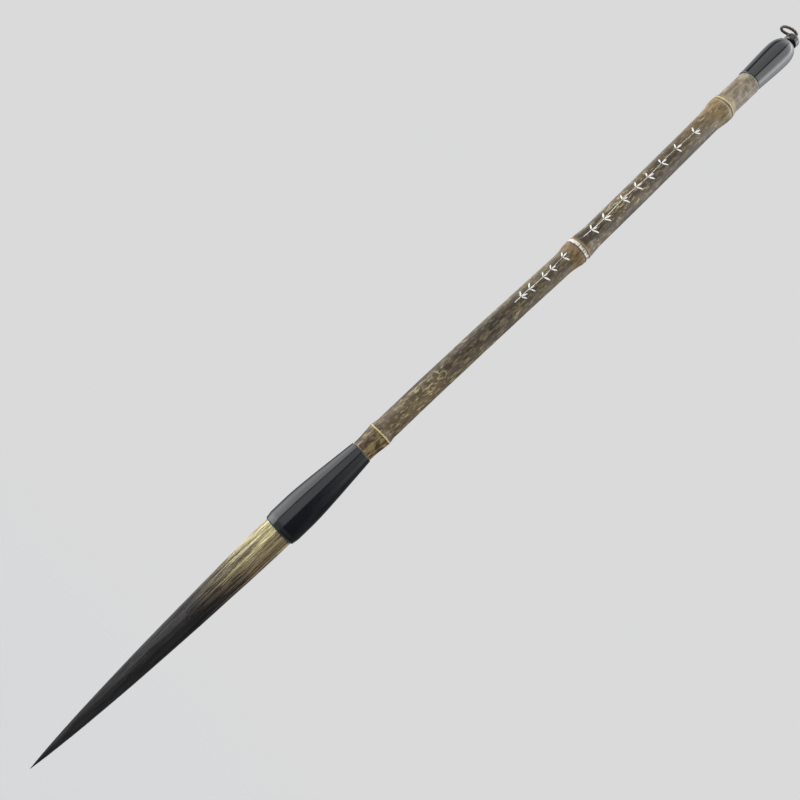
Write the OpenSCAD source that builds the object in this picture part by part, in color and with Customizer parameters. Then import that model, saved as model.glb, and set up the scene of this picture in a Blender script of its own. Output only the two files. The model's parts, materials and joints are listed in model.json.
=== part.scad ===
// Calligraphy brush: a long hair tuft in a flared ferrule, on a bamboo handle with a tail cap and a cord loop.
// Millimetres, +Z up the handle, tuft pointing down. The origin is where the fingers hold the handle.

/* [Tuft] */
// Length of the hair that stands out of the ferrule
hair_out = 109.8; // [100:0.2:116]
// Radius of the tuft at the ferrule's mouth
hair_r = 5.75; // [5.5:0.05:5.8]
// Distance of the upper bend below the ferrule's mouth
upper_bend = 6.5; // [5:0.5:8]
// Distance of the lower bend above the tip
lower_bend = 46.3; // [40:0.1:52]
// Share of the tuft's radius that the core hair fills
core_share = 0.42; // [0.36:0.01:0.48]
// Share of the tuft's radius at the outside of the belly hair
belly_share = 0.77; // [0.7:0.01:0.82]
// Distance of the belly hair's ends above the tip
belly_end = 58; // [54:1:64]

/* [Ferrule] */
// Length of the ferrule
ferrule_len = 38.5; // [37:0.5:42]
// Radius of the ferrule at its widest
ferrule_r = 6.7; // [6.6:0.05:6.9]
// Radius of the ferrule's lip at the mouth
lip_r = 6.35; // [6.3:0.05:6.45]
// Radius of the ferrule's top rim
ferrule_top_r = 4.4; // [4.3:0.05:4.6]
// Length of the straight land that a protective sleeve sits on
land_len = 5; // [4:0.5:6]
// Depth of the socket that holds the tuft
socket_depth = 18; // [17:0.5:19]

/* [Handle] */
// Distance from the ferrule's mouth up to where the fingers hold the handle
grip_height = 60.5; // [56:0.5:80]
// Height of the first node above the ferrule's top
node_1_height = 8.9; // [8:0.1:12]
// Height of the middle node above the ferrule's top
node_2_height = 104.3; // [98:0.1:110]
// Height of the upper node above the ferrule's top
node_3_height = 181.4; // [177:0.1:186]
// Height of the culm's upper end above the ferrule's top
culm_len = 197.2; // [195:0.1:202]
// Radius of the culm between its lower two nodes
culm_r = 4.2; // [4.05:0.05:4.25]
// Radius of the culm above the middle node
upper_culm_r = 4.35; // [4.25:0.05:4.4]
// How far the culm's kink puts the middle node to one side
kink = 1.3; // [0:0.1:1.5]
// How far the upper node and the culm's upper end lie to the same side
head_shift = 0.22; // [0:0.02:0.3]
// Length of the turned tenon in the ferrule
tenon_len = 14; // [10:1:15]
// Length of the turned spigot in the tail cap
spigot_len = 12; // [9:1:13]
// Radius of the turned tenon and spigot
tenon_r = 3.15; // [3:0.05:3.2]

/* [Tail cap] */
// Length of the tail cap
cap_len = 21.9; // [21:0.1:24]
// Radius of the tail cap at its mouth
cap_mouth_r = 4.5; // [4.4:0.05:4.7]
// Radius of the tail cap at its widest
cap_r = 5.25; // [5.1:0.05:5.4]

/* [Button and cord] */
// Radius of the button
button_r = 2.8; // [2.6:0.05:3]
// Thickness of the button
button_h = 3.1; // [2.8:0.1:3.4]
// Radius of the button's neck
neck_r = 1.85; // [1.75:0.05:1.9]
// Diameter of the cord
cord_d = 1.05; // [0.9:0.05:1.1]
// Distance of each cord strand from the button's axis
strand_offset = 0.62; // [0.6:0.01:0.65]

/* [Hidden] */
$fn = 64;

// Heights of the joints between the pieces, from the grip
mouth_z = -grip_height;
tip_z = mouth_z - hair_out;
ferrule_top_z = mouth_z + ferrule_len;
node_1_z = ferrule_top_z + node_1_height;
node_2_z = ferrule_top_z + node_2_height;
node_3_z = ferrule_top_z + node_3_height;
culm_top_z = ferrule_top_z + culm_len;
cap_top_z = culm_top_z + cap_len;
neck_gap = 0.25;
button_z = cap_top_z + neck_gap;
button_top_z = button_z + button_h;
upper_z = mouth_z - upper_bend;
lower_z = tip_z + lower_bend;

// Play left between glued pieces, and the thickness of the glue
gap = 0.02;
glue_t = 0.1;
hole_r = tenon_r + glue_t + 2 * gap;
socket_r = hair_r + 0.15;
cone_len = 4;
overlap = 1;

// ---- Curves ----

function bezier(p, t) =
    (1 - t) ^ 3 * p[0] + 3 * (1 - t) ^ 2 * t * p[1] + 3 * (1 - t) * t ^ 2 * p[2] + t ^ 3 * p[3];
function curve(p, steps) = [for (i = [0 : steps]) bezier(p, i / steps)];
function arc(centre, r, from, to, steps) =
    [for (i = [0 : steps]) let (a = from + (to - from) * i / steps) centre + r * [cos(a), sin(a)]];
function reversed(list) = [for (i = [len(list) - 1 : -1 : 0]) list[i]];
function unit(v) = v / norm(v);

// ---- Tuft ----

// The tuft's outline as shares of its radius and length: a slender point that fills out to the mouth
tuft_shares = curve([[0, 0], [0.58, 0.2], [0.96, 0.8], [1, 1]], 22);
point_r = 0.12;
tuft_line = [for (p = tuft_shares) [max(p[0] * hair_r, point_r), tip_z + p[1] * hair_out]];
tuft_table = [for (p = tuft_line) [p[1], p[0]]];
function tuft_radius(z) = lookup(z, tuft_table);

// The root narrows in the socket for the glue, and again for the binding
root_top_z = mouth_z + socket_depth - 1.6;
glue_z = mouth_z + 9;
binding_z = glue_z + 2.5;
binding_len = 3;
root_r = hair_r - 0.2;
bound_r = root_r - 0.4;
resin_len = 1.3;

// Cover hair ends here, and the core hair alone makes the point
cover_end_z = tip_z + 6;
belly_end_z = tip_z + belly_end;
belly_taper = 22;
belly_blunt = 4;
layer_gap = 0.05;
point_shares = [[tip_z, 1], [cover_end_z - 0.2, 1], [cover_end_z - 0.1, 0.55], [cover_end_z + 7, core_share]];
belly_shares = [[belly_end_z, core_share], [belly_end_z + belly_taper, belly_share]];
function core_edge(z) = tuft_radius(z) * lookup(z, point_shares);
function belly_edge(z) = tuft_radius(z) * lookup(z, belly_shares);
function heights_above(low) = concat(low, [for (p = tuft_line) if (p[1] > low + 0.5) p[1]], root_top_z);

cover_zs = heights_above(cover_end_z);
belly_zs = heights_above(belly_end_z + belly_blunt);
core_zs = concat(
    [tip_z, tip_z + 2, tip_z + 4, cover_end_z - 0.2, cover_end_z - 0.1],
    [for (z = cover_zs) if (z > cover_end_z) z]
);

// Bend balls: the lower part of each bend ends in a ball, and the upper part in a cup round it
bend_gap = 0.4;
upper_ball_r = tuft_radius(upper_z);
lower_ball_r = tuft_radius(lower_z);
reach = 12;

module cover_hair() {
    color([0.42, 0.37, 0.24])
        rotate_extrude()
            polygon(concat(
                [for (z = cover_zs) if (z < mouth_z + 1) [tuft_radius(z), z]],
                [[hair_r, glue_z], [root_r, glue_z], [root_r, binding_z], [bound_r, binding_z]],
                [[bound_r, binding_z + binding_len], [root_r, binding_z + binding_len], [root_r, root_top_z]],
                reversed([for (z = cover_zs) [max(belly_edge(z), core_edge(z)) + layer_gap, z]])
            ));
}

module belly_hair() {
    color([0.36, 0.3, 0.2])
        rotate_extrude()
            polygon(concat(
                [for (z = belly_zs) [belly_edge(z), z]],
                reversed([for (z = belly_zs) [core_edge(z) + layer_gap, z]])
            ));
}

module core_hair() {
    color([0.2, 0.18, 0.16])
        rotate_extrude()
            polygon(concat([for (z = core_zs) [core_edge(z), z]], [[0, root_top_z], [0, tip_z]]));
}

module above_upper_bend() {
    difference() {
        translate([0, 0, upper_z]) cylinder(h = upper_bend + ferrule_len, r = reach);
        translate([0, 0, upper_z]) sphere(upper_ball_r + bend_gap);
    }
}

module between_bends() {
    difference() {
        union() {
            translate([0, 0, lower_z]) cylinder(h = upper_z - lower_z, r = reach);
            translate([0, 0, upper_z]) sphere(upper_ball_r);
        }
        translate([0, 0, lower_z]) sphere(lower_ball_r + bend_gap);
    }
}

module below_lower_bend() {
    translate([0, 0, tip_z - overlap]) cylinder(h = lower_bend + overlap, r = reach);
    translate([0, 0, lower_z]) sphere(lower_ball_r);
}

module cover_hair_root() { intersection() { cover_hair(); above_upper_bend(); } }
module belly_hair_root() { intersection() { belly_hair(); above_upper_bend(); } }
module core_hair_root() { intersection() { core_hair(); above_upper_bend(); } }
module cover_hair_belly() { intersection() { cover_hair(); between_bends(); } }
module belly_hair_belly() { intersection() { belly_hair(); between_bends(); } }
module core_hair_belly() { intersection() { core_hair(); between_bends(); } }
module cover_hair_tip() { intersection() { cover_hair(); below_lower_bend(); } }
module core_hair_tip() { intersection() { core_hair(); below_lower_bend(); } }

module sleeve(z, length, inner, outer) {
    translate([0, 0, z])
        difference() {
            cylinder(h = length, r = outer);
            translate([0, 0, -overlap]) cylinder(h = length + 2 * overlap, r = inner);
        }
}

module root_binding() {
    color([0.75, 0.7, 0.6])
        sleeve(binding_z + gap, binding_len - 2 * gap, bound_r + gap, root_r - gap);
}

module root_resin() {
    color([0.45, 0.25, 0.08])
        translate([0, 0, root_top_z + gap])
            cylinder(h = resin_len, r = root_r);
}

module seat_glue() {
    color([0.8, 0.75, 0.6])
        sleeve(glue_z + gap, root_top_z - glue_z, root_r + gap, socket_r - gap);
}

// ---- Ferrule ----

land_start = 3.2;
lip_round = 0.6;
land_z = mouth_z + land_start;
flare_z = land_z + land_len;
rim_round = 0.25;

module ferrule() {
    shoulder = curve([
        [ferrule_r, flare_z],
        [ferrule_r, flare_z + 6],
        [(ferrule_r + ferrule_top_r) / 2 + 0.35, flare_z + 14],
        [ferrule_top_r, ferrule_top_z - rim_round]
    ], 14);
    lip = curve([
        [lip_r, mouth_z + lip_round],
        [lip_r + 0.12, mouth_z + 1.4],
        [ferrule_r, land_z - 1.2],
        [ferrule_r, land_z]
    ], 6);
    color([0.09, 0.1, 0.11])
        difference() {
            rotate_extrude()
                polygon(concat(
                    [[0, mouth_z], [socket_r + 0.15, mouth_z]],
                    arc([lip_r - lip_round * 0.7, mouth_z + lip_round], lip_round * 0.7, -60, 0, 4),
                    lip,
                    shoulder,
                    [[ferrule_top_r - rim_round, ferrule_top_z], [0, ferrule_top_z]]
                ));
            translate([0, 0, mouth_z - overlap])
                cylinder(h = socket_depth + overlap, r = socket_r);
            translate([0, 0, mouth_z + socket_depth - gap])
                cylinder(h = cone_len + gap, r1 = socket_r, r2 = hole_r);
            translate([0, 0, mouth_z + socket_depth + cone_len - gap])
                cylinder(h = ferrule_len, r = hole_r);
        }
}

// ---- Handle ----

swell_len = 7;
swell = 0.8;
neck_len = 6;
neck_swell = 0.35;
ridge_r = 0.42;
head_r = upper_culm_r + 0.1;
cavity_r = 1.5;
cavity_end = 4;

// Outline of one internode: it starts a little wide above a node, and swells again up to the next
function internode_line(length, low_r, high_r, end_swell) = concat(
    [for (i = [0 : 3]) [low_r + neck_swell * (1 - i / 3) ^ 2, neck_len * i / 3]],
    [for (i = [0 : 8]) [high_r + end_swell * (i / 8) ^ 2, length - swell_len * (1 - i / 8)]]
);

module tilted(from, to) {
    lean = to - from;
    translate([from[0], 0, from[1]])
        rotate([0, atan2(lean[0], lean[1]), 0])
            children();
}

module internode(from, to, low_r, high_r, end_swell) {
    length = norm(to - from);
    tilted(from, to)
        rotate_extrude()
            polygon(concat(
                [[0, -overlap], [low_r, -overlap]],
                internode_line(length, low_r, high_r, end_swell),
                [[0, length]]
            ));
}

module node_ridge(at, r) {
    translate([at[0], 0, at[1]])
        rotate_extrude()
            translate([r, 0])
                circle(ridge_r, $fn = 24);
}

module cavity(from, to) {
    length = norm(to - from);
    tilted(from, to)
        translate([0, 0, cavity_end])
            cylinder(h = length - 2 * cavity_end, r = cavity_r);
}

foot = [0, ferrule_top_z];
node_1 = [0, node_1_z];
node_2 = [kink, node_2_z];
node_3 = [head_shift, node_3_z];
head = [head_shift, culm_top_z];
foot_r = 4.05;

module handle() {
    color([0.37, 0.33, 0.25])
        difference() {
            union() {
                translate([0, 0, ferrule_top_z - tenon_len]) cylinder(h = tenon_len + overlap, r = tenon_r);
                translate([0, 0, ferrule_top_z])
                    rotate_extrude()
                        polygon([
                            [0, 0],
                            [foot_r, 0],
                            [foot_r, node_1_height * 0.4],
                            [culm_r + 0.35, node_1_height],
                            [0, node_1_height]
                        ]);
                internode(node_1, node_2, culm_r, culm_r - 0.08, swell);
                internode(node_2, node_3, upper_culm_r, upper_culm_r - 0.08, swell);
                internode(node_3, head, head_r, head_r, 0);
                node_ridge(node_1, culm_r + 0.1);
                node_ridge(node_2, culm_r + 0.35);
                node_ridge(node_3, upper_culm_r + 0.35);
                translate([0, 0, culm_top_z - overlap]) cylinder(h = spigot_len + overlap, r = tenon_r);
            }
            cavity(node_1, node_2);
            cavity(node_2, node_3);
        }
}

module tenon_glue() {
    color([0.8, 0.75, 0.6])
        sleeve(ferrule_top_z - tenon_len, tenon_len - 0.5, tenon_r + gap, hole_r - gap);
}

module cap_glue() {
    color([0.8, 0.75, 0.6])
        sleeve(culm_top_z + 0.5, spigot_len - 0.5, tenon_r + gap, hole_r - gap);
}

// ---- Tail cap and button ----

spigot_play = 0.3;
chamber_r = 2.6;
stem_len = 4;
string_r = strand_offset + cord_d / 2 + 0.05;
stem_hole_r = neck_r + gap;

module tail_cap() {
    side = curve([
        [cap_mouth_r, culm_top_z + 0.15],
        [cap_mouth_r + 0.3, culm_top_z + 6],
        [cap_r, culm_top_z + cap_len * 0.5],
        [cap_r, culm_top_z + cap_len * 0.7]
    ], 10);
    dome = curve([
        [cap_r, culm_top_z + cap_len * 0.7],
        [cap_r, culm_top_z + cap_len * 0.88],
        [neck_r + 2.1, culm_top_z + cap_len * 0.955],
        [neck_r + 0.1, cap_top_z]
    ], 14);
    spigot_top = culm_top_z + spigot_len + spigot_play;
    chamber_top = button_z - stem_len - 0.1;
    color([0.05, 0.05, 0.055])
        difference() {
            rotate_extrude()
                polygon(concat(
                    [[0, culm_top_z + gap], [cap_mouth_r - 0.15, culm_top_z + gap]],
                    side,
                    dome,
                    [[0, cap_top_z]]
                ));
            translate([0, 0, culm_top_z - overlap]) cylinder(h = spigot_top - culm_top_z + overlap, r = hole_r);
            translate([0, 0, spigot_top - gap]) cylinder(h = chamber_top - spigot_top + gap, r = chamber_r);
            translate([0, 0, chamber_top - gap]) cylinder(h = cap_len, r = stem_hole_r);
        }
}

module tail_button() {
    edge = 0.9;
    color([0.05, 0.05, 0.055])
        difference() {
            rotate_extrude()
                polygon(concat(
                    [[0, button_z - stem_len], [neck_r, button_z - stem_len], [neck_r, button_z]],
                    arc([button_r - edge, button_z + edge], edge, -70, 0, 5),
                    arc([button_r - edge, button_top_z - edge], edge, 0, 90, 6),
                    [[0, button_top_z]]
                ));
            translate([0, 0, button_z - stem_len - overlap])
                cylinder(h = stem_len + button_h + 2 * overlap, r = string_r);
        }
}

// ---- Cord ----

cord_r = cord_d / 2;
cord_sides = 8;
root_z = button_top_z + 0.62;
knot_r = 1.9;
knot_z = button_z - stem_len - 0.05 - knot_r * 0.8;
tail_start_z = knot_z + knot_r * 0.8;

// One side of the loop, from the button's hole out to the far end and back: sideways, up and across
loop_half = [
    [0, -strand_offset, 0],
    [-0.2, -0.8, 0.42],
    [-0.8, -1.15, 0.64],
    [-1.8, -1.5, 0.52],
    [-3, -1.72, 0.15],
    [-4.2, -1.7, -0.3],
    [-5.2, -1.4, -0.65],
    [-5.9, -0.8, -0.88],
    [-6.15, 0, -0.95]
];
loop_route = concat(
    [for (p = loop_half) p + [0, 0, root_z]],
    [for (i = [len(loop_half) - 2 : -1 : 0]) [loop_half[i][0], -loop_half[i][1], loop_half[i][2] + root_z]]
);

function heading(route, i) = unit(route[min(i + 1, len(route) - 1)] - route[max(i - 1, 0)]);
function carried(side, ahead) = unit(side - (side * ahead) * ahead);
function sides_along(route, first) = [
    for (
        i = 0, side = carried(first, heading(route, 0));
        i < len(route);
        i = i + 1, side = i < len(route) ? carried(side, heading(route, i)) : side
    ) side
];
function ring(centre, side, ahead, r) = [
    for (k = [0 : cord_sides - 1])
        let (a = 360 * k / cord_sides) centre + r * (cos(a) * side + sin(a) * cross(ahead, side))
];

// A tube along a route, with a blunt rounded end at each end
module cord(route, first) {
    last = len(route) - 1;
    sides = sides_along(route, first);
    rings = concat(
        [ring(route[0] - 0.7 * cord_r * heading(route, 0), sides[0], heading(route, 0), 0.7 * cord_r)],
        [for (i = [0 : last]) ring(route[i], sides[i], heading(route, i), cord_r)],
        [ring(route[last] + 0.7 * cord_r * heading(route, last), sides[last], heading(route, last), 0.7 * cord_r)]
    );
    count = len(rings);
    polyhedron(
        points = [for (r = rings) each r],
        faces = concat(
            [[for (k = [0 : cord_sides - 1]) k]],
            [[for (k = [cord_sides - 1 : -1 : 0]) (count - 1) * cord_sides + k]],
            [
                for (i = [0 : count - 2], k = [0 : cord_sides - 1])
                    let (n = (k + 1) % cord_sides)
                    [i * cord_sides + k, (i + 1) * cord_sides + k, (i + 1) * cord_sides + n, i * cord_sides + n]
            ]
        ),
        convexity = 6
    );
}

module loop_knot() {
    color([0.24, 0.16, 0.12])
        intersection() {
            translate([0, 0, knot_z]) sphere(knot_r);
            translate([0, 0, knot_z - knot_r * 0.8]) cylinder(h = knot_r * 1.6, r = knot_r);
        }
}

module cord_tails() {
    low = tail_start_z + 0.7 * cord_r;
    high = button_top_z - 0.7 * cord_r;
    color([0.24, 0.16, 0.12])
        for (y = [-strand_offset, strand_offset])
            cord([for (i = [0 : 4]) [0, y, low + (high - low) * i / 4]], [1, 0, 0]);
}

module hanging_loop() {
    color([0.24, 0.16, 0.12]) cord(loop_route, [1, 0, 0]);
}

handle();
ferrule();
tail_cap();
tail_button();
tenon_glue();
cap_glue();
root_binding();
root_resin();
seat_glue();
cover_hair_root();
belly_hair_root();
core_hair_root();
cover_hair_belly();
belly_hair_belly();
core_hair_belly();
cover_hair_tip();
core_hair_tip();
loop_knot();
cord_tails();
hanging_loop();
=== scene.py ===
import json
import math
from functools import reduce

import bmesh
import bpy
from mathutils import Matrix, Vector, noise


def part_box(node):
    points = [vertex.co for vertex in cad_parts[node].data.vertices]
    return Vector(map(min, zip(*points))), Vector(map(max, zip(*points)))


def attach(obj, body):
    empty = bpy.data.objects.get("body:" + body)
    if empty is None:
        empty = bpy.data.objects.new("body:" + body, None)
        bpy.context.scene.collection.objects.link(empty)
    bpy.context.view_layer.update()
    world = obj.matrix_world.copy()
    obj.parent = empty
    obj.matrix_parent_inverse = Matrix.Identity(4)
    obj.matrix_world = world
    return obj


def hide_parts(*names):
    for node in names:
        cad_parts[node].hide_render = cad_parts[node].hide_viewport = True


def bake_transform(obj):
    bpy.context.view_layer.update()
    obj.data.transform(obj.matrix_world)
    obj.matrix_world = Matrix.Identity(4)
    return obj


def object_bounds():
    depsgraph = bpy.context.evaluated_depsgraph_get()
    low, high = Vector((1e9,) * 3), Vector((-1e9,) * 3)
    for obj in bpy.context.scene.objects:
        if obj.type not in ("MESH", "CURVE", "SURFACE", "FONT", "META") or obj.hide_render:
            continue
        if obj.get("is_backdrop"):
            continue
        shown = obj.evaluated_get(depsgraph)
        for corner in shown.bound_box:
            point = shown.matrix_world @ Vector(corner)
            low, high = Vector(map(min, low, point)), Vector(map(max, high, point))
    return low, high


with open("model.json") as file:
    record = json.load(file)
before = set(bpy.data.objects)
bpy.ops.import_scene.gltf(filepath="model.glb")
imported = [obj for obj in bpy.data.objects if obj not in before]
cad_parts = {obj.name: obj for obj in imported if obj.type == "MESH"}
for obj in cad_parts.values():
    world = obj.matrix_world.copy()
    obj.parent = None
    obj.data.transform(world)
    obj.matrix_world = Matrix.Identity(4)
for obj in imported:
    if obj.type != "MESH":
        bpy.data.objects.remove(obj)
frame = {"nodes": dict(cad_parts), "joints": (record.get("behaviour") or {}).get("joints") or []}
cad_low, cad_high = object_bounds()
scene = bpy.context.scene
hinge = {joint["name"]: Vector(joint["pos_m"]) for joint in frame["joints"]}


# ---- Camera ----
# The brush lies across the view from the lower left to the upper right. It is seen from close by and
# a little from the tuft's side, so the tail end is the far one.
LENS = 40.5
CAMERA_DISTANCE = 0.3113
CAMERA_RISE = math.radians(6.85)
CAMERA_ROLL = math.radians(43.62)
CAMERA_AIM = Vector((-0.0038, 0, 0))

ahead = Vector((0, math.cos(CAMERA_RISE), math.sin(CAMERA_RISE)))
handle_up = Vector((0, -math.sin(CAMERA_RISE), math.cos(CAMERA_RISE)))
across = Vector((1, 0, 0))
view_right = math.cos(CAMERA_ROLL) * handle_up + math.sin(CAMERA_ROLL) * across
view_up = math.sin(CAMERA_ROLL) * handle_up - math.cos(CAMERA_ROLL) * across

camera = bpy.data.objects.new("camera", bpy.data.cameras.new("camera"))
camera.data.lens = LENS
camera.data.clip_start = 0.01
camera.matrix_world = (
    Matrix.Translation(CAMERA_AIM - CAMERA_DISTANCE * ahead)
    @ Matrix((view_right, view_up, -ahead)).transposed().to_4x4()
)
scene.collection.objects.link(camera)
scene.camera = camera
scene.view_settings.view_transform = "Standard"


# ---- Floor and light ----
# A pale round floor below the tip fades into a pale backdrop. One wide soft panel in two leaves lights all of
# the left, and a smaller one stands high on the right and so reaches the tail end most.
BACKDROP = (0.70, 0.70, 0.705, 1)
FLOOR_COLOUR = (0.37, 0.37, 0.37, 1)
FLOOR_DROP = 0.05
FLOOR_RADIUS = 0.6
FLOOR_SOLID_SHARE = 0.12
AMBIENT = 0.1
LEFT_LIGHT = 2.9
LEFT_NEAR_SHARE = 0.42
FAR_TOP_SPREAD = 0.57
NEAR_TOP_SPREAD = 0.63
FAR_LEAF_TURN = (56, 59, 100, 150)
NEAR_LEAF_TURN = (1, 4, 49, 52)
RIGHT_CORE_TURN = (-98, -84, -68, -52)
RIGHT_HIGH_LIGHT = 2.5
REAR_LIGHT = 0.25
OVERHEAD_LIGHT = 1.2
LIGHT_TINT = (0.97, 0.985, 1, 1)


def fill(tree, socket, value):
    """Wires a socket or sets its value. None leaves it alone."""
    if isinstance(value, bpy.types.NodeSocket):
        tree.links.new(value, socket)
    elif value is not None:
        socket.default_value = value


def node(tree, kind, *inputs, **settings):
    """Adds a node. Inputs follow the order of its sockets in use."""
    made = tree.nodes.new(kind)
    for name, value in settings.items():
        setattr(made, name, value)
    for socket, value in zip([s for s in made.inputs if s.enabled], inputs):
        fill(tree, socket, value)
    return made


def maths(tree, operation, *values):
    """The result of one Math node."""
    return node(tree, "ShaderNodeMath", *values, operation=operation).outputs[0]


def product(tree, *values):
    """The product of several values."""
    return reduce(lambda a, b: maths(tree, "MULTIPLY", a, b), values)


def total(tree, *values):
    """The sum of several values."""
    return reduce(lambda a, b: maths(tree, "ADD", a, b), values)


def vectors(tree, operation, *values):
    """The vector that one Vector Math node gives."""
    return node(tree, "ShaderNodeVectorMath", *values, operation=operation).outputs[0]


def point(tree, *values):
    """A vector of three values."""
    return node(tree, "ShaderNodeCombineXYZ", *values).outputs[0]


def parts(tree, vector):
    """The X, Y and Z of a vector."""
    return node(tree, "ShaderNodeSeparateXYZ", vector).outputs


def mapped(tree, value, low, high, to_low=0.0, to_high=1.0, smooth=True):
    """A value between low and high, taken to between to_low and to_high, and held there beyond."""
    kind = "SMOOTHSTEP" if smooth else "LINEAR"
    made = node(tree, "ShaderNodeMapRange", value, low, high, to_low, to_high, interpolation_type=kind)
    return made.outputs[0]


def between(tree, value, start, full, last, end):
    """1 from full to last, and smoothly down to 0 at start and at end."""
    return product(tree, mapped(tree, value, start, full), mapped(tree, value, last, end, 1, 0))


def new_material(name):
    """A material with a Principled shader, and its tree, shader and Object coordinates."""
    made = bpy.data.materials.new(name)
    made.use_nodes = True
    tree = made.node_tree
    return made, tree, tree.nodes["Principled BSDF"], node(tree, "ShaderNodeTexCoord").outputs["Object"]


world = bpy.data.worlds.new("backdrop")
world.use_nodes = True
scene.world = world
tree = world.node_tree
way = parts(tree, node(tree, "ShaderNodeTexCoord").outputs["Generated"])
to_left = product(tree, way["X"], -1.0)
to_front = product(tree, way["Y"], -1.0)
turn = product(tree, maths(tree, "ARCTAN2", to_left, to_front), 180 / math.pi)
far_turn = product(tree, turn, mapped(tree, way["Z"], 0.1, 0.55, 1, FAR_TOP_SPREAD))
near_turn = product(tree, turn, mapped(tree, way["Z"], 0.1, 0.55, 1, NEAR_TOP_SPREAD))
far_leaf = product(tree, between(tree, far_turn, *FAR_LEAF_TURN), mapped(tree, way["Z"], 0.15, 0.6, 1, 0.22))
near_leaf = product(tree, between(tree, near_turn, *NEAR_LEAF_TURN), LEFT_NEAR_SHARE)
far_leaf = product(tree, far_leaf, mapped(tree, way["Z"], -0.5, 0.05, 1.9, 1.0))
near_leaf = product(tree, near_leaf, mapped(tree, way["Z"], -0.5, 0.0, 0.4, 1.0))
left = product(tree, total(tree, far_leaf, near_leaf), LEFT_LIGHT)
high_up = mapped(tree, way["Z"], 0.10, 0.46)
right_wide = product(tree, mapped(tree, turn, -150, -90, 0.15, 1), mapped(tree, turn, -12, -3, 1, 0))
right_core = between(tree, turn, *RIGHT_CORE_TURN)
right = product(tree, total(tree, right_wide, right_core), high_up, RIGHT_HIGH_LIGHT)
rear = product(tree, mapped(tree, maths(tree, "ABSOLUTE", turn), 135, 175), REAR_LIGHT)
overhead = mapped(tree, way["Z"], 0.7, 1.0, 0, OVERHEAD_LIGHT)
bright = total(tree, total(tree, left, right), total(tree, rear, total(tree, overhead, AMBIENT)))
lit = tree.nodes["Background"]
lit.inputs["Color"].default_value = LIGHT_TINT
tree.links.new(bright, lit.inputs["Strength"])
seen = node(tree, "ShaderNodeBackground", BACKDROP)
is_seen = node(tree, "ShaderNodeLightPath").outputs["Is Camera Ray"]
both = node(tree, "ShaderNodeMixShader", is_seen, lit.outputs[0], seen.outputs[0])
tree.links.new(both.outputs[0], tree.nodes["World Output"].inputs["Surface"])

floor_z = cad_low.z - FLOOR_DROP
floor_middle = (0, 0, floor_z)
bpy.ops.mesh.primitive_circle_add(vertices=96, radius=FLOOR_RADIUS, fill_type="NGON", location=floor_middle)
floor = bpy.context.object
floor.name = "floor"
paint, tree, shader, place = new_material("pale_floor")
shader.inputs["Base Color"].default_value = FLOOR_COLOUR
shader.inputs["Roughness"].default_value = 0.9
shader.inputs["Specular IOR Level"].default_value = 0.1
away = node(tree, "ShaderNodeVectorMath", place, operation="LENGTH").outputs["Value"]
fade = mapped(tree, away, FLOOR_SOLID_SHARE * FLOOR_RADIUS, FLOOR_RADIUS, 1, 0)
tree.links.new(fade, shader.inputs["Alpha"])
floor.data.materials.append(paint)
floor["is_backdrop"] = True


# ---- Tuft: the mass of belly and core hair ----
# Under the cover hair lies the imported belly and core hair. It is one body of hair glued at the root, with
# grooves where the hairs bunch together, and it comes to a point. It is painted darker than the cover hair,
# as painted shade under it. The dark part of all the hair is painted paler on its left (-X) side as a painted
# sheen, and the tan part darker on its +X side as painted shade.
hair_root_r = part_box("cover_hair_root")[1].x
tip_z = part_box("core_hair_tip")[0].z
mouth_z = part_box("ferrule")[0].z
hair_length = mouth_z - tip_z
HEART_SHARE = 0.93
HEART_SEGMENTS = 144
HEART_RINGS = 150
BUNCH_DEPTH = 0.035
GROOVE_DEPTH = 0.02
HEART_END_STEP = 0.02
PARTING_SHARE = 0.58
HAIR_IN_SOCKET = 0.006


def bezier(p, t):
    """A point of the cubic curve with the four control values p."""
    s = 1 - t
    return s * s * s * p[0] + 3 * s * s * t * p[1] + 3 * s * t * t * p[2] + t * t * t * p[3]


TUFT_RADII = (0.0, 0.58, 0.96, 1.0)
TUFT_HEIGHTS = (0.0, 0.2, 0.8, 1.0)


def tuft_place(t):
    """The tuft's outline radius and its height, from the tip at 0 to the ferrule's mouth at 1."""
    return bezier(TUFT_RADII, t) * hair_root_r, tip_z + bezier(TUFT_HEIGHTS, t) * hair_length


def place_on_tuft(height):
    """The step along the outline at which it is at a height."""
    low, high = 0.0, 1.5
    for _ in range(40):
        middle = (low + high) / 2
        low, high = (middle, high) if tuft_place(middle)[1] < height else (low, middle)
    return low


upper_bend_z = hinge["tuft_bend"].z
lower_bend_z = hinge["tip_bend"].z
parting_z = upper_bend_z + PARTING_SHARE * (lower_bend_z - upper_bend_z)
parting = place_on_tuft(parting_z)


def shown(name, mesh, material):
    """A new smooth object at the origin with this mesh and material."""
    piece = bpy.data.objects.new(name, mesh)
    scene.collection.objects.link(piece)
    mesh.materials.clear()
    mesh.materials.append(material)
    mesh.polygons.foreach_set("use_smooth", [True] * len(mesh.polygons))
    return piece


def skinned(name, rings, closed=False):
    """A mesh over rings of points. One point is a pole, and a closed one joins its last ring to its first."""
    made = bmesh.new()
    rows = [[made.verts.new(p) for p in ring] for ring in rings]
    pairs = list(zip(rows, rows[1:])) + ([(rows[-1], rows[0])] if closed else [])
    for below, above in pairs:
        count = max(len(below), len(above))
        for k in range(count):
            corners = [below[k % len(below)], below[(k + 1) % len(below)]]
            corners += [above[(k + 1) % len(above)], above[k % len(above)]]
            made.faces.new(list(dict.fromkeys(corners)))
    bmesh.ops.recalc_face_normals(made, faces=made.faces)
    mesh = bpy.data.meshes.new(name)
    made.to_mesh(mesh)
    made.free()
    return mesh


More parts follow.
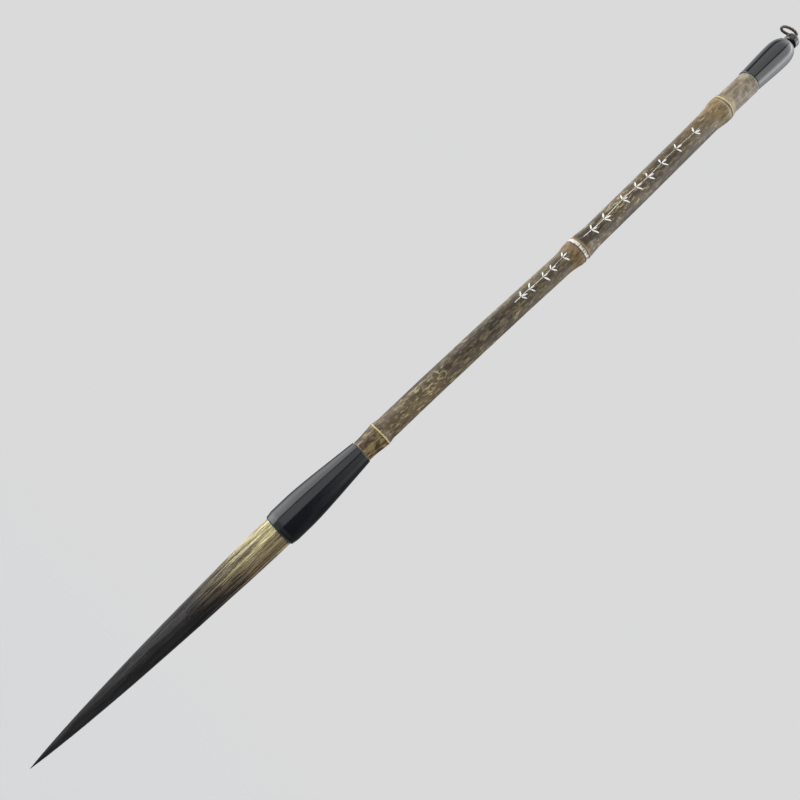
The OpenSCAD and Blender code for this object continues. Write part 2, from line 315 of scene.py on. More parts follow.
def hair_mass(name, start, end):
    """The grooved mass of hair between two steps of the outline, closed at both ends."""
    rings = []
    for i in range(HEART_RINGS + 1):
        t = start + (end - start) * i / HEART_RINGS
        r, z = tuft_place(t)
        ring = []
        for k in range(HEART_SEGMENTS):
            a = 2 * math.pi * k / HEART_SEGMENTS
            bunch = noise.noise(Vector((9 * math.cos(a), 9 * math.sin(a), 2.2 * t)))
            fine = noise.noise(Vector((31 * math.cos(a), 31 * math.sin(a), 5 * t)))
            depth = HEART_SHARE + BUNCH_DEPTH * bunch + GROOVE_DEPTH * fine
            ring.append((depth * r * math.cos(a), depth * r * math.sin(a), z))
        rings.append(ring)
    mesh = skinned(name, [[(0, 0, rings[0][0][2])], *rings, [(0, 0, rings[-1][0][2])]])
    rest = mesh.attributes.new("rest", "FLOAT_VECTOR", "POINT")
    rest.data.foreach_set("vector", [value for vertex in mesh.vertices for value in vertex.co])
    return mesh


def hair_side(tree, place):
    """The side of the tuft that a hair lies on, from -1 to 1."""
    flat = vectors(tree, "MULTIPLY", place, (1, 1, 0))
    outward = vectors(tree, "NORMALIZE", flat)
    return parts(tree, outward)["X"]


def painted_hair_sheen(tree, place, tone):
    """How much paler the dark hair is painted on its left (-X) side, as a painted sheen."""
    painted_sheen = mapped(tree, hair_side(tree, place), -0.6, 0.0, 2.3, 0.0)
    dark = maths(tree, "SUBTRACT", 1.0, tone)
    return total(tree, product(tree, painted_sheen, dark, dark), 1.0)


GOLD_START = 0.60
GOLD_END = 0.95
GOLD_RAGGED = 0.24
# The share of the golden tone kept on the +X side of the hair, which is painted darker as painted shade.
PAINTED_SHADE_GOLD = 0.73


def hair_tone(tree, place, strand):
    """How golden the hair is: 1 at the ferrule, 0 in the dark part, with an uneven edge from hair to hair."""
    height = parts(tree, place)["Z"]
    uneven = product(tree, maths(tree, "SUBTRACT", strand, 0.5), GOLD_RAGGED * hair_length)
    shifted = total(tree, height, uneven)
    golden = mapped(tree, shifted, tip_z + GOLD_START * hair_length, tip_z + GOLD_END * hair_length)
    # The golden tone is lowered on the +X side of the tuft: painted shade.
    return product(tree, golden, mapped(tree, hair_side(tree, place), -0.35, 0.35, 1.0, PAINTED_SHADE_GOLD))


HAIR_STEPS = (
    (0.0, (0.0075, 0.0071, 0.0076, 1)),
    (0.22, (0.0150, 0.0122, 0.0112, 1)),
    (0.5, (0.055, 0.039, 0.028, 1)),
    (0.72, (0.19, 0.148, 0.080, 1)),
    (1.0, (0.50, 0.44, 0.235, 1)),
)


def ramp(tree, value, steps):
    """A colour ramp over steps of (position, colour)."""
    made = node(tree, "ShaderNodeValToRGB", value)
    while len(made.color_ramp.elements) < len(steps):
        made.color_ramp.elements.new(1)
    for element, (position, colour) in zip(made.color_ramp.elements, steps):
        element.position, element.color = position, colour
    return made.outputs["Color"]


def streaks(tree, place, scale, stretch, detail=2.0):
    """Noise drawn out along the handle."""
    drawn = node(tree, "ShaderNodeMapping", place, None, None, (1, 1, stretch)).outputs[0]
    return node(tree, "ShaderNodeTexNoise", drawn, scale, detail).outputs[0]


def darkened(tree, colour, factor):
    """A colour times a value."""
    return vectors(tree, "MULTIPLY", colour, factor)


def painted(tree, shader, colour, roughness, relief=None, strength=0.0, depth=0.0):
    """Gives a shader its colour, its roughness and its relief."""
    fill(tree, shader.inputs["Base Color"], colour)
    fill(tree, shader.inputs["Roughness"], roughness)
    if relief:
        bump = node(tree, "ShaderNodeBump", strength, depth, None, relief)
        tree.links.new(bump.outputs[0], shader.inputs["Normal"])


hair_mass_paint, tree, shader, _ = new_material("packed_hair")
place = node(tree, "ShaderNodeAttribute", attribute_name="rest").outputs["Vector"]
lines = streaks(tree, place, 1500, 0.012)
tone = hair_tone(tree, place, lines)
# The dark hair is painted paler on its left (-X) side: a painted sheen.
tint = darkened(tree, ramp(tree, tone, HAIR_STEPS), painted_hair_sheen(tree, place, tone))
# The packed hair is painted darker by a streaky factor of 0.25 to 0.85: painted shade where it lies under the
# cover hair.
tint = darkened(tree, tint, mapped(tree, lines, 0.3, 0.75, 0.25, 0.85))
painted(tree, shader, tint, 0.6, lines, 0.5, 0.0001)

root_step = place_on_tuft(mouth_z + HAIR_IN_SOCKET)

mass_upper = shown("hair_mass_upper", hair_mass("hair_mass_upper", parting, root_step), hair_mass_paint)
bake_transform(mass_upper)
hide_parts("core_hair_root", "belly_hair_root", "core_hair_belly", "belly_hair_belly")
mass_lower = shown("hair_mass_lower", hair_mass("hair_mass_lower", HEART_END_STEP, parting), hair_mass_paint)
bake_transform(mass_lower)
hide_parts("core_hair_tip")


# ---- Tuft: the cover hair ----
# The cover hair is the outer layer: long fine hairs, tan where they leave the ferrule and dyed nearly black
# at their ends. They wave a little at the root, lie close together, and end at different lengths.
HAIR_COUNT = 1900
HAIR_THICKNESS = 0.00019
HAIR_POINTS = 18
SHORTEST_SHARE = 0.34
SHARED_SWAY = 0.36
OWN_SWAY = 0.22
SHARED_WAVE = 0.05
OWN_WAVE = 0.02
LAYER_DEPTHS = (0.948, 0.978)
ROOT_FULLNESS = 1.022
SLIMMEST, STOUTEST = 0.3, 0.62


def geometry(tree, kind, *inputs, **settings):
    """What one Geometry Nodes node gives."""
    return node(tree, "GeometryNode" + kind, *inputs, **settings).outputs[0]


def new_tree(name, **inputs):
    """A Geometry Nodes tree with named inputs of these kinds, its inputs, and the socket of its result."""
    tree = bpy.data.node_groups.new(name, "GeometryNodeTree")
    for label, kind in inputs.items():
        tree.interface.new_socket(label.replace("_", " "), in_out="INPUT", socket_type="NodeSocket" + kind)
    tree.interface.new_socket("Result", in_out="OUTPUT", socket_type="NodeSocketGeometry")
    return tree, tree.nodes.new("NodeGroupInput").outputs, tree.nodes.new("NodeGroupOutput").inputs[0]


def completed(tree, shape, paint, result):
    """Ends a tree: its shape is made smooth and real, and gets its material."""
    shape = geometry(tree, "SetShadeSmooth", shape)
    shape = geometry(tree, "RealizeInstances", shape)
    shape = geometry(tree, "SetMaterial", shape, None, paint)
    tree.links.new(shape, result)


def hair_tree():
    """Hairs laid along the tuft's outline between two of its steps, each a closed thin tapered tube."""
    tree, given, result = new_tree(
        "cover_hair", Count="Int", Points="Int", Seed="Int", Start="Float", End="Float", Thickness="Float",
        Root_Radius="Float", Length="Float", Tip_Height="Float", Paint="Material",
    )

    def chance(low, high, shift):
        """A random value for each hair."""
        seed = total(tree, given["Seed"], float(shift))
        made = node(tree, "FunctionNodeRandomValue", low, high, hair_number, seed, data_type="FLOAT")
        return made.outputs[1]

    def outline(values, t):
        """The cubic curve of the tuft's outline, worked out at t."""
        s = maths(tree, "SUBTRACT", 1.0, t)
        first = product(tree, product(tree, product(tree, s, s), t), 3 * values[1])
        second = product(tree, product(tree, s, product(tree, t, t)), 3 * values[2])
        third = product(tree, product(tree, product(tree, t, t), t), values[3])
        return total(tree, first, second, third)

    index = geometry(tree, "InputIndex")
    hair_number = geometry(tree, "FieldOnDomain", index, domain="CURVE", data_type="INT")
    line = geometry(tree, "CurvePrimitiveLine", (0, 0, 0), (0, 0, 1))
    line = geometry(tree, "ResampleCurve", line, None, given["Points"])
    points = geometry(tree, "Points", given["Count"])
    hairs = geometry(tree, "InstanceOnPoints", points, None, line)
    hairs = geometry(tree, "RealizeInstances", hairs)

    factor = geometry(tree, "SplineParameter")
    own_end = product(tree, maths(tree, "POWER", chance(0.0, 1.0, 1), 2.5), SHORTEST_SHARE)
    last = maths(tree, "MAXIMUM", given["End"], own_end)
    span = maths(tree, "SUBTRACT", last, given["Start"])
    t = total(tree, given["Start"], product(tree, span, factor))
    first_angle = chance(0.0, 2 * math.pi, 2)
    around = point(tree, maths(tree, "COSINE", first_angle), maths(tree, "SINE", first_angle))
    lift = point(tree, 0.0, 0.0, product(tree, t, 9.0))
    flow_at = vectors(tree, "ADD", vectors(tree, "MULTIPLY", around, (4.0, 4.0, 1.0)), lift)
    flow = node(tree, "ShaderNodeTexNoise", flow_at, 1.0, 1.0).outputs[0]
    own_at = point(tree, chance(0.0, 90.0, 3), chance(0.0, 90.0, 4), product(tree, t, 7.0))
    own = node(tree, "ShaderNodeTexNoise", own_at, 1.0, 1.0).outputs[0]
    loose = mapped(tree, t, 0.45, 1.0, 0.35, 1.0)
    sway = total(tree, product(tree, flow, SHARED_SWAY), product(tree, own, OWN_SWAY))
    sway = product(tree, maths(tree, "SUBTRACT", sway, (SHARED_SWAY + OWN_SWAY) / 2), loose)
    angle = total(tree, first_angle, sway)
    waves = product(tree, maths(tree, "SUBTRACT", flow, 0.5), SHARED_WAVE)
    stray = product(tree, maths(tree, "SUBTRACT", own, 0.5), OWN_WAVE)
    fullness = mapped(tree, t, 0.9, 0.985, ROOT_FULLNESS, 1.0)
    depth = total(tree, chance(*LAYER_DEPTHS, 5), total(tree, waves, stray))
    depth = product(tree, depth, fullness)
    radius = product(tree, product(tree, outline(TUFT_RADII, t), given["Root Radius"]), depth)
    height = product(tree, outline(TUFT_HEIGHTS, t), given["Length"])
    across_x = product(tree, radius, maths(tree, "COSINE", angle))
    across_y = product(tree, radius, maths(tree, "SINE", angle))
    spot = point(tree, across_x, across_y, total(tree, height, given["Tip Height"]))
    hairs = geometry(tree, "SetPosition", hairs, None, spot)
    own_number = chance(0.0, 1.0, 6)
    hairs = geometry(
        tree, "StoreNamedAttribute", hairs, None, "strand", own_number, data_type="FLOAT", domain="CURVE",
    )
    slim = mapped(tree, t, 0.0, 0.4, 0.3, 1.0)
    own_taper = mapped(tree, maths(tree, "SUBTRACT", t, own_end), 0.0, 0.12, 0.12, 1.0)
    width = product(tree, product(tree, slim, own_taper), given["Thickness"])
    width = product(tree, width, chance(SLIMMEST, STOUTEST, 7))
    ring = geometry(tree, "CurvePrimitiveCircle", 3, 1.0)
    at_rest = geometry(tree, "InputPosition")
    hairs = geometry(
        tree, "StoreNamedAttribute", hairs, None, "rest", at_rest, data_type="FLOAT_VECTOR", domain="POINT",
    )
    tubes = geometry(tree, "CurveToMesh", hairs, ring, width, True)
    completed(tree, tubes, given["Paint"], result)
    return tree


def grown(name, tree, base=None, **values):
    """The plain mesh that a tree makes with these inputs, as an object at the origin."""
    carrier = bpy.data.objects.new(name + "_tree", base or bpy.data.meshes.new(name + "_tree"))
    scene.collection.objects.link(carrier)
    modifier = carrier.modifiers.new(name, "NODES")
    modifier.node_group = tree
    for item in tree.interface.items_tree:
        if item.in_out == "INPUT" and item.name.replace(" ", "_") in values:
            modifier[item.identifier] = values[item.name.replace(" ", "_")]
    grid = bpy.context.evaluated_depsgraph_get()
    mesh = bpy.data.meshes.new_from_object(carrier.evaluated_get(grid))
    mesh.name = name
    bpy.data.objects.remove(carrier)
    piece = bpy.data.objects.new(name, mesh)
    scene.collection.objects.link(piece)
    return piece


hair_paint, tree, shader, _ = new_material("cover_hair")
place = node(tree, "ShaderNodeAttribute", attribute_name="rest").outputs["Vector"]
strand = node(tree, "ShaderNodeAttribute", attribute_name="strand").outputs["Fac"]
tone = hair_tone(tree, place, strand)
# The dark hair is painted paler on its left (-X) side: a painted sheen.
tint = darkened(tree, ramp(tree, tone, HAIR_STEPS), painted_hair_sheen(tree, place, tone))
own_light = maths(tree, "FRACT", product(tree, strand, 7.31))
bunches = mapped(tree, streaks(tree, place, 1700, 0.045, 1.0), 0.38, 0.52, 0.4, 1.2)
locks = mapped(tree, streaks(tree, place, 520, 0.07, 1.0), 0.35, 0.65, 0.75, 1.25)
own_light = mapped(tree, own_light, 0, 1, 0.45, 1.7, smooth=False)
painted(tree, shader, darkened(tree, tint, product(tree, own_light, bunches, locks)), 0.38)
shader.inputs["Specular IOR Level"].default_value = 0.3

cover = hair_tree()
sizes = dict(
    Points=HAIR_POINTS, Root_Radius=hair_root_r, Length=hair_length, Tip_Height=tip_z,
    Thickness=HAIR_THICKNESS, Paint=hair_paint, Count=HAIR_COUNT,
)
for layer, seed in (("outer", 11), ("inner", 47)):
    upper = grown(f"cover_hair_upper_{layer}", cover, Seed=seed, Start=root_step, End=parting, **sizes)
    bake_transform(upper)
    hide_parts("cover_hair_root", "cover_hair_belly")
    lower = grown(f"cover_hair_lower_{layer}", cover, Seed=seed, Start=parting, End=0.0, **sizes)
    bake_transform(lower)
    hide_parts("cover_hair_tip")


# ---- Ferrule ----
# A turned socket of black horn-like plastic, polished to a satin. The tuft is glued into its mouth and the
# culm's tenon into its narrow end. The short straight land near the mouth is its widest part.
ferrule_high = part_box("ferrule")[1]
ferrule_r = ferrule_high.x
LIP_R = 0.00635
FERRULE_TOP_R = 0.0044
LIP_ROUND = 0.0005
FINE_ROUND = 0.0002
INNER_ROUND = 0.00012
LAND_START = 0.0032
LAND_LENGTH = 0.005
SOCKET_R = hair_root_r + 0.00015
SOCKET_DEPTH = 0.018
CONE_LENGTH = 0.004
TENON_HOLE_R = 0.0033


def curve(points, steps):
    """Points (radius, height) along the cubic curve of four control points."""
    return [tuple(bezier([p[axis] for p in points], i / steps) for axis in (0, 1)) for i in range(steps + 1)]


def arc(centre, r, start, end, steps):
    """Points (radius, height) round an arc, in degrees from the outward direction."""
    turns = [math.radians(start + (end - start) * i / steps) for i in range(steps + 1)]
    return [(centre[0] + r * math.cos(a), centre[1] + r * math.sin(a)) for a in turns]


def turned(name, outline, segments=128, closed=False):
    """A turned solid about the handle's axis. An open outline starts and ends on the axis."""
    rings = []
    for r, z in outline:
        count = segments if r > 1e-7 else 1
        turns = [2 * math.pi * k / count for k in range(count)]
        rings.append([(r * math.cos(a), r * math.sin(a), z) for a in turns])
    return skinned(name, rings, closed)


land_z = mouth_z + LAND_START
flare_z = land_z + LAND_LENGTH
top_z = ferrule_high.z
inner_lip = SOCKET_R + INNER_ROUND
shoulder_r = (ferrule_r + FERRULE_TOP_R) / 2 + 0.00035
lip_to_land = curve([
    (LIP_R, mouth_z + LIP_ROUND),
    (LIP_R + 0.0001, mouth_z + 0.0015),
    (ferrule_r, land_z - 0.0012),
    (ferrule_r, land_z),
], 14)
flare = curve([
    (ferrule_r, flare_z),
    (ferrule_r, flare_z + 0.006),
    (shoulder_r, flare_z + 0.014),
    (FERRULE_TOP_R, top_z - 0.00025),
], 40)
ferrule_outline = (
    arc((inner_lip + INNER_ROUND, mouth_z + INNER_ROUND), INNER_ROUND, 180, 270, 4)
    + arc((LIP_R - LIP_ROUND, mouth_z + LIP_ROUND), LIP_ROUND, -90, 0, 8)
    + lip_to_land[1:]
    + flare
    + arc((FERRULE_TOP_R - FINE_ROUND, top_z - FINE_ROUND), FINE_ROUND, 20, 90, 4)
    + [(TENON_HOLE_R + 0.0001, top_z), (TENON_HOLE_R, top_z - 0.0001)]
    + [(TENON_HOLE_R, mouth_z + SOCKET_DEPTH + CONE_LENGTH), (SOCKET_R, mouth_z + SOCKET_DEPTH)]
    + [(SOCKET_R, mouth_z + 0.0012), (inner_lip, mouth_z + 0.0006)]
)
ferrule_paint, tree, shader, place = new_material("satin_black_horn")
haze = streaks(tree, place, 260, 0.35, 4.0)
grain = streaks(tree, place, 2600, 3.0)
black = ramp(tree, haze, ((0.35, (0.003, 0.0036, 0.0048, 1)), (0.7, (0.0062, 0.0074, 0.0095, 1))))
painted(tree, shader, black, mapped(tree, haze, 0.3, 0.75, 0.11, 0.2), grain, 0.06, 0.00002)
ferrule = shown("ferrule_shell", turned("ferrule_shell", ferrule_outline, closed=True), ferrule_paint)
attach(ferrule, "handle")
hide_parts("ferrule")


# ---- Handle ----
# One length of thin bamboo with three nodes, smoke-stained and lacquered, so that tan flecks show through the
# brown. The culm kinks at its middle node, and its ends are turned down for the ferrule and the tail cap.
culm_low_z = ferrule_high.z
culm_top_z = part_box("tail_cap")[0].z
NODE_HEIGHTS = (0.0089, 0.1043, 0.1814)
node_1_z, node_2_z, node_3_z = (culm_low_z + h for h in NODE_HEIGHTS)
KINK = 0.0013
HEAD_SHIFT = 0.00022
TENON_R = 0.00315
TENON_LENGTH = 0.014
SPIGOT_LENGTH = 0.012
CULM_SEGMENTS = 96
FOOT_R = 0.00405
FOOT_SWELL = 0.0005
LOWER_R = 0.0042
LOWER_TAPER = 0.00007
UPPER_R = 0.00435
UPPER_TAPER = 0.00004
HEAD_R = 0.00452
RIDGE = 0.0002
RIDGE_HALF = 0.0006
NODE_2_SWELL = 0.00078
NODE_3_SWELL = 0.00084
SWELL_END = 0.0004
SPIGOT_EDGE = 0.0003


def ease(x, start, end):
    """0 before start, 1 after end, and smooth between."""
    s = min(max((x - start) / (end - start), 0.0), 1.0)
    return s * s * (3 - 2 * s)


def hump(x, centre, half_width):
    """A round hump of height 1."""
    s = min(abs(x - centre) / half_width, 1.0)
    return (1 - s * s) ** 2


def culm_radius(z):
    """The culm's radius at a height, nodes included, before it is made uneven."""
    ridge = RIDGE * hump(z, node_1_z, RIDGE_HALF)
    if z < node_1_z:
        r = FOOT_R + FOOT_SWELL * ease(z, culm_low_z + 0.002, node_1_z - RIDGE_HALF)
        r -= 0.00025 * (1 - ease(z, culm_low_z, culm_low_z + 0.0004))
        return r + ridge
    if z < node_2_z:
        r = LOWER_R + 0.00035 * (1 - ease(z, node_1_z, node_1_z + 0.003))
        r += ridge - LOWER_TAPER * ease(z, node_1_z + 0.03, node_2_z - 0.01)
        return r + NODE_2_SWELL * ease(z, node_2_z - 0.008, node_2_z - SWELL_END) ** 1.7
    if z < node_3_z:
        past = z - node_2_z
        r = UPPER_R + 0.00045 * (1 - ease(past, 0.0024, 0.009))
        r += 0.0002 * (1 - ease(past, 0, 0.0004)) - 0.00005 * hump(past, 0.0010, 0.0007)
        r += 0.00016 * hump(past, 0.0020, 0.0007)
        r -= UPPER_TAPER * ease(z, node_2_z + 0.02, node_3_z - 0.02)
        return r + NODE_3_SWELL * ease(z, node_3_z - 0.009, node_3_z - SWELL_END) ** 2.4
    past = z - node_3_z
    r = HEAD_R + 0.00060 * (1 - ease(past, 0.0011, 0.0040))
    r -= 0.00012 * hump(past, 0.0006, 0.0004) - 0.00006 * hump(past, 0.00115, 0.0004)
    return r - 0.00012 * ease(z, culm_top_z - 0.0005, culm_top_z)


def culm_lean(z):
    """How far the culm's middle lies to one side at a height."""
    if z < node_1_z:
        return 0.0
    if z < node_2_z:
        return KINK * ((z - node_1_z) / (node_2_z - node_1_z)) ** 2
    fall = min((z - node_2_z) / (node_3_z - node_2_z), 1.0)
    return KINK + (HEAD_SHIFT - KINK) * fall ** 1.5


def culm_point(z, a):
    """A point of the culm's surface: slightly oval, knobbly at the nodes, with faint long grooves."""
    near_node = max(hump(z, n, 0.007) for n in (node_1_z, node_2_z, node_3_z))
    r = culm_radius(z)
    c, s = math.cos(a), math.sin(a)
    r += 0.00005 * noise.noise(Vector((1.3 * c, 1.3 * s, 60 * z)))
    r += (0.00003 + 0.00009 * near_node) * noise.noise(Vector((4 * c, 4 * s, 230 * z)))
    r += 0.000012 * noise.noise(Vector((16 * c, 16 * s, 40 * z)))
    return culm_lean(z) + r * c, r * s, z


def spaced(start, end, wide, fine):
    """Heights from start to end, close together near the nodes and the ends."""
    heights, z = [], start
    while z < end:
        heights.append(z)
        marks = (culm_low_z, node_1_z, node_2_z + 0.001, node_3_z + 0.0005, culm_top_z)
        nearest = min(abs(z - m) for m in marks)
        z += fine if nearest < 0.0035 else (3 * fine if nearest < 0.010 else wide)
    return heights + [end]


def plain_ring(r, z):
    """A true circle about the handle's axis."""
    turns = [2 * math.pi * k / CULM_SEGMENTS for k in range(CULM_SEGMENTS)]
    return [(r * math.cos(a), r * math.sin(a), z) for a in turns]


tenon_z = culm_low_z - TENON_LENGTH
spigot_z = culm_top_z + SPIGOT_LENGTH
culm_rings = [[(0, 0, tenon_z)], plain_ring(TENON_R - FINE_ROUND, tenon_z)]
culm_rings += [plain_ring(TENON_R, tenon_z + SPIGOT_EDGE), plain_ring(TENON_R, culm_low_z)]
for z in spaced(culm_low_z, culm_top_z, 0.0016, 0.00016):
    culm_rings.append([culm_point(z, 2 * math.pi * k / CULM_SEGMENTS) for k in range(CULM_SEGMENTS)])
culm_rings += [plain_ring(TENON_R, culm_top_z), plain_ring(TENON_R, spigot_z - SPIGOT_EDGE)]
culm_rings += [plain_ring(TENON_R - FINE_ROUND, spigot_z), [(0, 0, spigot_z)]]


def blended(tree, factor, under, over):
    """One colour over another."""
    made = tree.nodes.new("ShaderNodeMix")
    made.data_type = "RGBA"
    for socket, value in ((made.inputs["Factor"], factor), (made.inputs[6], under), (made.inputs[7], over)):
        fill(tree, socket, value)
    return made.outputs[2]


def wandering(tree, place, scale, stretch, width):
    """Thin wandering lines, 1 along them, where a drawn-out noise passes its middle value."""
    off = maths(tree, "ABSOLUTE", maths(tree, "SUBTRACT", streaks(tree, place, scale, stretch, 1.0), 0.5))
    return mapped(tree, off, 0.3 * width, width, 1, 0)


def band(tree, height, centre, half_width, soft):
    """1 within half_width of a height, and 0 beyond a soft edge."""
    off = maths(tree, "ABSOLUTE", maths(tree, "SUBTRACT", height, centre))
    return mapped(tree, off, half_width, half_width + soft, 1, 0)


bamboo_paint, tree, shader, place = new_material("stained_bamboo")
height = parts(tree, place)["Z"]
clouds = streaks(tree, place, 130, 0.25, 4.0)
patches = streaks(tree, place, 330, 0.35, 3.0)
blotches = streaks(tree, place, 900, 0.42, 3.0)
flecks = streaks(tree, place, 1500, 0.28, 2.0)
fibres = streaks(tree, place, 3400, 0.02, 2.0)
long_streaks = streaks(tree, place, 1300, 0.03, 2.0)
skin = ramp(tree, clouds, (
    (0.34, (0.020, 0.0125, 0.0065, 1)), (0.48, (0.046, 0.031, 0.0155, 1)), (0.66, (0.105, 0.076, 0.037, 1)),
))
skin = blended(tree, mapped(tree, long_streaks, 0.52, 0.72, 0, 0.6), skin, (0.105, 0.088, 0.058, 1))
skin = blended(tree, mapped(tree, blotches, 0.48, 0.66, 0, 0.65), skin, (0.165, 0.125, 0.068, 1))
lower_part = between(tree, height, node_1_z, node_1_z + 0.015, node_2_z - 0.04, node_2_z - 0.015)
upper_part = between(tree, height, node_2_z + 0.002, node_2_z + 0.008, node_2_z + 0.03, node_2_z + 0.05)
near_top_node = between(tree, height, node_3_z - 0.013, node_3_z - 0.008, node_3_z - 0.003, node_3_z)
foot_part = mapped(tree, height, node_1_z - 0.001, node_1_z, 1, 0)
middle_parts = maths(tree, "MAXIMUM", lower_part, upper_part)
fleck_share = maths(tree, "MAXIMUM", middle_parts, maths(tree, "MAXIMUM", near_top_node, foot_part))
fleck_share = mapped(tree, fleck_share, 0, 1, 0.35, 1, smooth=False)
curl_part = between(tree, height, node_1_z + 0.004, node_1_z + 0.008, node_1_z + 0.034, node_1_z + 0.046)
curls = product(tree, wandering(tree, place, 430, 0.26, 0.022), mapped(tree, patches, 0.52, 0.62), curl_part)
skin = blended(tree, product(tree, curls, 0.75), skin, (0.36, 0.29, 0.145, 1))
dots = product(tree, mapped(tree, flecks, 0.56, 0.66), mapped(tree, clouds, 0.42, 0.54), fleck_share)
skin = blended(tree, product(tree, dots, 0.8), skin, (0.37, 0.30, 0.165, 1))
mottle = streaks(tree, place, 480, 0.75, 4.0)
pale = ramp(tree, mottle, (
    (0.36, (0.105, 0.080, 0.052, 1)), (0.5, (0.185, 0.150, 0.104, 1)), (0.64, (0.30, 0.25, 0.19, 1)),
))
head_part = mapped(tree, height, node_3_z + 0.001, node_3_z + 0.002)
skin = blended(tree, product(tree, head_part, 0.92), skin, pale)
warm = ramp(tree, blotches, (
    (0.38, (0.028, 0.014, 0.006, 1)), (0.5, (0.080, 0.047, 0.018, 1)), (0.62, (0.225, 0.165, 0.072, 1)),
))
skin = blended(tree, product(tree, foot_part, 0.8), skin, warm)

uneven = mapped(tree, blotches, 0.36, 0.6, 0.3, 1)
for centre, half_width, soft, strength, colour in (
    (node_2_z - 0.0008, 0.0004, 0.0042, 0.8, (0.22, 0.115, 0.042, 1)),
    (node_2_z - 0.0035, 0.0010, 0.0060, 0.5, (0.20, 0.150, 0.070, 1)),
    (node_3_z - 0.0015, 0.0010, 0.0075, 0.8, (0.27, 0.185, 0.075, 1)),
):
    where = product(tree, band(tree, height, centre, half_width, soft), uneven, strength)
    skin = blended(tree, where, skin, colour)

ragged = total(tree, height, product(tree, maths(tree, "SUBTRACT", patches, 0.5), 0.0006))
for centre, half_width, soft, strength, colour in (
    (node_1_z, 0.00020, 0.00012, 0.95, (0.46, 0.37, 0.17, 1)),
    (node_2_z + 0.0001, 0.00012, 0.0003, 0.8, (0.035, 0.022, 0.014, 1)),
    (node_2_z + 0.0020, 0.0002, 0.00025, 0.75, (0.24, 0.15, 0.07, 1)),
    (node_3_z, 0.00020, 0.0002, 0.8, (0.27, 0.235, 0.17, 1)),
    (node_3_z + 0.0006, 0.00012, 0.00015, 0.8, (0.07, 0.048, 0.025, 1)),
    (node_3_z + 0.0012, 0.00024, 0.00016, 0.95, (0.44, 0.37, 0.20, 1)),
    (culm_low_z, 0.0003, 0.00015, 0.8, (0.36, 0.29, 0.18, 1)),
    (culm_top_z, 0.00025, 0.0002, 0.75, (0.25, 0.27, 0.17, 1)),
):
    where = product(tree, band(tree, ragged, centre, half_width, soft), strength)
    skin = blended(tree, where, skin, colour)
chalk = ramp(tree, flecks, (
    (0.36, (0.10, 0.085, 0.065, 1)), (0.46, (0.44, 0.42, 0.37, 1)), (0.6, (0.62, 0.61, 0.57, 1)),
))
skin = blended(tree, band(tree, ragged, node_2_z + 0.0010, 0.00055, 0.00015), skin, chalk)
skin = darkened(tree, skin, mapped(tree, fibres, 0.25, 0.75, 0.75, 1.2))
painted(tree, shader, skin, mapped(tree, clouds, 0.3, 0.7, 0.5, 0.36))
shader.inputs["Specular IOR Level"].default_value = 0.25
shader.inputs["Coat Weight"].default_value = 0.1
shader.inputs["Coat Roughness"].default_value = 0.25
bump = node(tree, "ShaderNodeBump", 0.3, 0.00004, None, fibres)
pits = node(tree, "ShaderNodeBump", 0.4, 0.00008, None, blotches, bump.outputs[0])
tree.links.new(pits.outputs[0], shader.inputs["Normal"])
culm = shown("bamboo_culm", skinned("bamboo_culm", culm_rings), bamboo_paint)
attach(culm, "handle")
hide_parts("handle")


# ---- Leaf sprig on the handle ----
# A plain sprig of small leaves is cut shallow into the front of the culm and filled with white pigment. One
# length of it lies on each side of the middle node.
SPRIG_SIDE = math.radians(-9)
SPRIG_STEM_R = 0.00013
LEAF_LENGTH = 0.0024
LEAF_WIDTH = 0.0006
LEAF_HALF_THICK = 0.00007
LEAF_SPREAD = (-0.96, 0.14, 1.05)
LEAF_GAP = 0.09
SWAY = 0.00022
SWAYS_PER_METRE = 260.0
WRAP_R = 0.0043
RAY_START_R = 0.012
RAY_LENGTH = 0.02
PROUD = 0.00003


